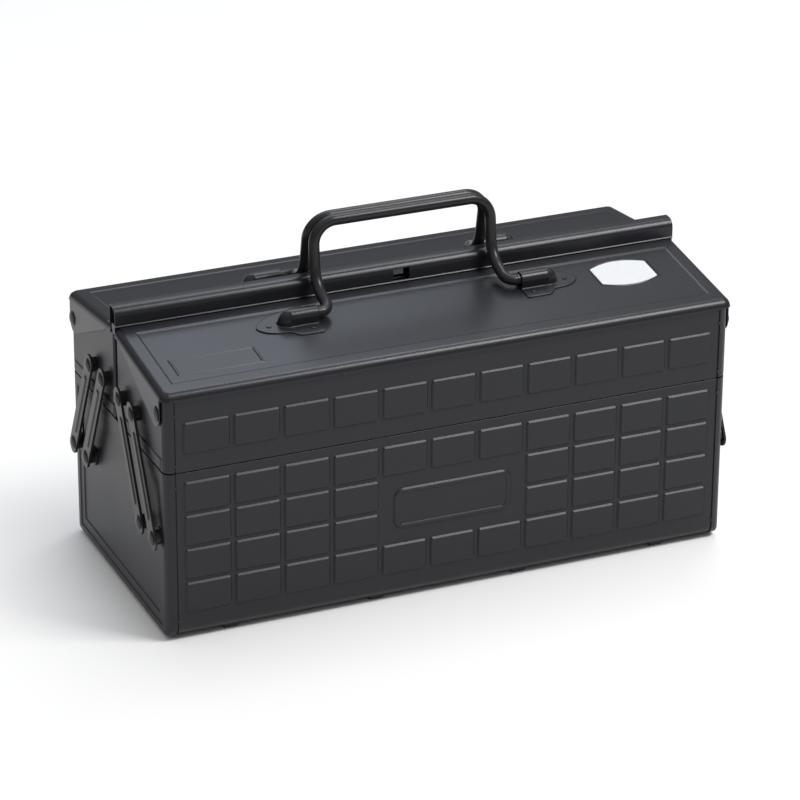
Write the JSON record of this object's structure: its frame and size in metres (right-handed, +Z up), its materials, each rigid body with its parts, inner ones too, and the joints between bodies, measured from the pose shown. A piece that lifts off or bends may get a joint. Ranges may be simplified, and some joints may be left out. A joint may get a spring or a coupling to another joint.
{
  "type": "tool box",
  "caption": "Two-tier cantilever tool box in dark painted pressed steel, with linked swing-out trays, pitched lids and folding bar handles",
  "frame": {"origin": "on the floor under the middle of the closed box", "axes": "+X along the box's length, to the right seen from the front; +Y from front to back; +Z up"},
  "size_m": [0.3608, 0.161, 0.2115],
  "materials": {
    "body_paint": "satin",
    "lid_paint": "satin",
    "link_paint": "satin",
    "handle_paint": "satin",
    "rivet_steel": "satin",
    "badge_metal": "satin"
  },
  "bodies": {
    "base": {"base_trough": "body_paint", "base_end_left": "body_paint", "base_end_right": "body_paint", "base_link_rivets": "rivet_steel"},
    "front_inner_link_left_body": {"front_inner_link_left": "link_paint"},
    "front_inner_link_right_body": {"front_inner_link_right": "link_paint"},
    "front_outer_link_left_body": {"front_outer_link_left": "link_paint"},
    "front_outer_link_right_body": {"front_outer_link_right": "link_paint"},
    "rear_inner_link_left_body": {"rear_inner_link_left": "link_paint"},
    "rear_inner_link_right_body": {"rear_inner_link_right": "link_paint"},
    "rear_outer_link_left_body": {"rear_outer_link_left": "link_paint"},
    "rear_outer_link_right_body": {"rear_outer_link_right": "link_paint"},
    "front_tray": {"front_tray_trough": "body_paint", "front_tray_end_left": "body_paint", "front_tray_end_right": "body_paint", "front_tray_link_rivets": "rivet_steel", "front_lid_hinge_rivets": "rivet_steel"},
    "rear_tray": {"rear_tray_trough": "body_paint", "rear_tray_end_left": "body_paint", "rear_tray_end_right": "body_paint", "rear_tray_link_rivets": "rivet_steel", "rear_lid_hinge_rivets": "rivet_steel"},
    "front_lid": {"front_lid_panel": "lid_paint", "front_bracket_left": "lid_paint", "front_bracket_right": "lid_paint", "front_bracket_rivets": "rivet_steel", "badge_plate": "badge_metal"},
    "rear_lid": {"rear_lid_panel": "lid_paint", "ridge_rail": "lid_paint", "rear_bracket_left": "lid_paint", "rear_bracket_right": "lid_paint", "rear_bracket_rivets": "rivet_steel"},
    "front_handle_body": {"front_handle": "handle_paint"},
    "rear_handle_body": {"rear_handle": "handle_paint"}
  },
  "joints": [
    {"name": "front_tray_swing", "type": "hinge", "parent": "base", "child": "front_inner_link_left_body", "pos_m": [-0.17775, -0.0459, 0.0622], "axis": [1, 0, 0], "range_deg": [0, 53]},
    {"name": "front_tray_level", "type": "hinge", "parent": "front_inner_link_left_body", "child": "front_tray", "pos_m": [-0.17775, -0.0145, 0.1248], "axis": [1, 0, 0], "range_deg": [-53, 0]},
    {"name": "front_inner_link_right_swing", "type": "hinge", "parent": "base", "child": "front_inner_link_right_body", "pos_m": [0.17775, -0.0459, 0.0622], "axis": [1, 0, 0], "range_deg": [0, 53]},
    {"name": "front_outer_link_left_swing", "type": "hinge", "parent": "base", "child": "front_outer_link_left_body", "pos_m": [-0.17775, -0.0675, 0.0622], "axis": [1, 0, 0], "range_deg": [0, 53]},
    {"name": "front_outer_link_right_swing", "type": "hinge", "parent": "base", "child": "front_outer_link_right_body", "pos_m": [0.17775, -0.0675, 0.0622], "axis": [1, 0, 0], "range_deg": [0, 53]},
    {"name": "front_lid_hinge", "type": "hinge", "parent": "front_tray", "child": "front_lid", "pos_m": [0, -0.07075, 0.1395], "axis": [1, 0, 0], "range_deg": [0, 92]},
    {"name": "front_handle_fold", "type": "hinge", "parent": "front_lid", "child": "front_handle_body", "pos_m": [0, -0.0284, 0.16444], "axis": [1, 0, 0], "range_deg": [0, 126]},
    {"name": "rear_tray_swing", "type": "hinge", "parent": "base", "child": "rear_inner_link_left_body", "pos_m": [-0.17775, 0.0459, 0.0622], "axis": [-1, 0, 0], "range_deg": [0, 53]},
    {"name": "rear_tray_level", "type": "hinge", "parent": "rear_inner_link_left_body", "child": "rear_tray", "pos_m": [-0.17775, 0.0145, 0.1248], "axis": [-1, 0, 0], "range_deg": [-53, 0]},
    {"name": "rear_inner_link_right_swing", "type": "hinge", "parent": "base", "child": "rear_inner_link_right_body", "pos_m": [0.17775, 0.0459, 0.0622], "axis": [-1, 0, 0], "range_deg": [0, 53]},
    {"name": "rear_outer_link_left_swing", "type": "hinge", "parent": "base", "child": "rear_outer_link_left_body", "pos_m": [-0.17775, 0.0675, 0.0622], "axis": [-1, 0, 0], "range_deg": [0, 53]},
    {"name": "rear_outer_link_right_swing", "type": "hinge", "parent": "base", "child": "rear_outer_link_right_body", "pos_m": [0.17775, 0.0675, 0.0622], "axis": [-1, 0, 0], "range_deg": [0, 53]},
    {"name": "rear_lid_hinge", "type": "hinge", "parent": "rear_tray", "child": "rear_lid", "pos_m": [0, 0.07075, 0.1395], "axis": [-1, 0, 0], "range_deg": [0, 92]},
    {"name": "rear_handle_fold", "type": "hinge", "parent": "rear_lid", "child": "rear_handle_body", "pos_m": [0, 0.0284, 0.16444], "axis": [-1, 0, 0], "range_deg": [0, 126]}
  ],
  "couplings": [
    {"joint": "front_tray_level", "follows": "front_tray_swing", "ratio": -1},
    {"joint": "front_inner_link_right_swing", "follows": "front_tray_swing", "ratio": 1},
    {"joint": "front_outer_link_left_swing", "follows": "front_tray_swing", "ratio": 1},
    {"joint": "front_outer_link_right_swing", "follows": "front_tray_swing", "ratio": 1},
    {"joint": "rear_tray_level", "follows": "rear_tray_swing", "ratio": -1},
    {"joint": "rear_inner_link_right_swing", "follows": "rear_tray_swing", "ratio": 1},
    {"joint": "rear_outer_link_left_swing", "follows": "rear_tray_swing", "ratio": 1},
    {"joint": "rear_outer_link_right_swing", "follows": "rear_tray_swing", "ratio": 1}
  ]
}
